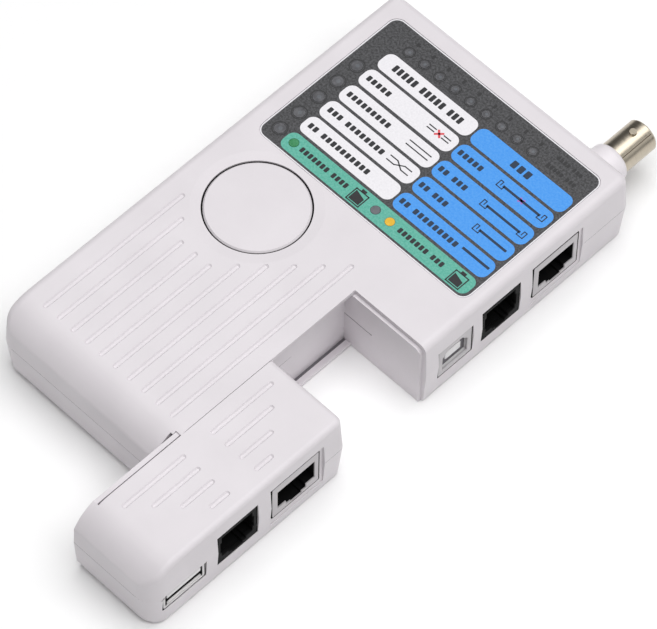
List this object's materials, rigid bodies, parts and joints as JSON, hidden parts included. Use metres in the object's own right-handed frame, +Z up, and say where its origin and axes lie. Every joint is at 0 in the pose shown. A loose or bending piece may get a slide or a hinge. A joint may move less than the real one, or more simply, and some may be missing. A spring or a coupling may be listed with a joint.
{
  "type": "network cable tester",
  "caption": "Hand-held two-part network cable tester: main unit with test button, indicator label and sockets, and a remote unit that slides along a bay at one corner.",
  "frame": {"origin": "centre of the main unit's flat underside", "axes": "+Z up out of the label face, +Y along the length towards the coax socket, +X towards the side that carries the LAN, telephone and USB sockets; the remote stands partly drawn out towards -Y"},
  "size_m": [0.0851, 0.1906, 0.0249],
  "materials": {
    "case_plastic": "satin, warm off-white",
    "button_plastic": "satin, warm off-white",
    "overlay_print": "fine-grained charcoal film with printed fields",
    "lamp_tint": "dark tinted clear resin",
    "lamp_green": "tinted clear resin, green",
    "lamp_grey": "tinted clear resin, grey",
    "lamp_yellow": "tinted clear resin, yellow",
    "jack_grey": "moulded light grey",
    "jack_black": "moulded black",
    "usb_white": "moulded white",
    "usb_steel": "pressed sheet",
    "contact_gold": "thin gold plating",
    "coax_nickel": "turned, nickel plated",
    "collar_white": "moulded white",
    "insulator": "white insulator",
    "board_green": "solder-masked laminate",
    "chip_black": "moulded epoxy",
    "screw_steel": "zinc plated",
    "battery_jacket": "printed jacket",
    "terminal_nickel": "nickel plated",
    "snap_black": "moulded black",
    "lead_cover": "flexible insulation"
  },
  "bodies": {
    "main": {"main_top_shell": "case_plastic", "main_bottom_shell": "case_plastic", "label_overlay": "overlay_print", "column_lamps": "lamp_tint", "row_lamps": "lamp_tint", "battery_lamp_green": "lamp_green", "battery_lamp_grey": "lamp_grey", "battery_lamp_yellow": "lamp_yellow", "switch_body": "snap_black", "main_board": "board_green", "upper_board": "board_green", "board_header": "chip_black", "controller_chip": "chip_black", "resistors": "chip_black", "capacitor": "terminal_nickel", "case_screws": "screw_steel", "board_screws": "screw_steel", "upper_board_screws": "screw_steel", "lan_jack": "jack_grey", "lan_contacts": "contact_gold", "phone_jack": "jack_black", "phone_contacts": "contact_gold", "usb_b_shell": "usb_white", "usb_b_tongue": "usb_white", "usb_b_contacts": "contact_gold", "coax_collar": "collar_white", "coax_barrel": "coax_nickel", "coax_insulator": "insulator", "coax_pin": "contact_gold", "coax_base": "jack_black", "battery": "battery_jacket", "battery_terminals": "terminal_nickel", "battery_snap": "snap_black", "battery_leads": "lead_cover"},
    "button": {"test_button": "button_plastic", "switch_plunger": "jack_grey"},
    "door": {"battery_door": "case_plastic"},
    "remote": {"remote_top_shell": "case_plastic", "remote_bottom_shell": "case_plastic", "remote_rail": "case_plastic", "remote_board": "board_green", "remote_lan_jack": "jack_grey", "remote_lan_contacts": "contact_gold", "remote_phone_jack": "jack_black", "remote_phone_contacts": "contact_gold", "remote_usb_shell": "usb_steel", "remote_usb_tongue": "usb_white", "remote_usb_contacts": "contact_gold", "remote_diodes": "chip_black", "remote_screws": "screw_steel"}
  },
  "joints": [
    {"name": "remote_slide", "type": "slide", "parent": "main", "child": "remote", "axis": [0, 1, 0], "range_m": [-0.045, 0.0276]},
    {"name": "button_press", "type": "slide", "parent": "main", "child": "button", "axis": [0, 0, -1], "range_m": [0, 0.0008], "stiffness_N_per_m": 1200, "springref_m": -0.001},
    {"name": "battery_door_release", "type": "slide", "parent": "main", "child": "door", "axis": [0, 0, -1], "range_m": [0, 0.03]}
  ]
}
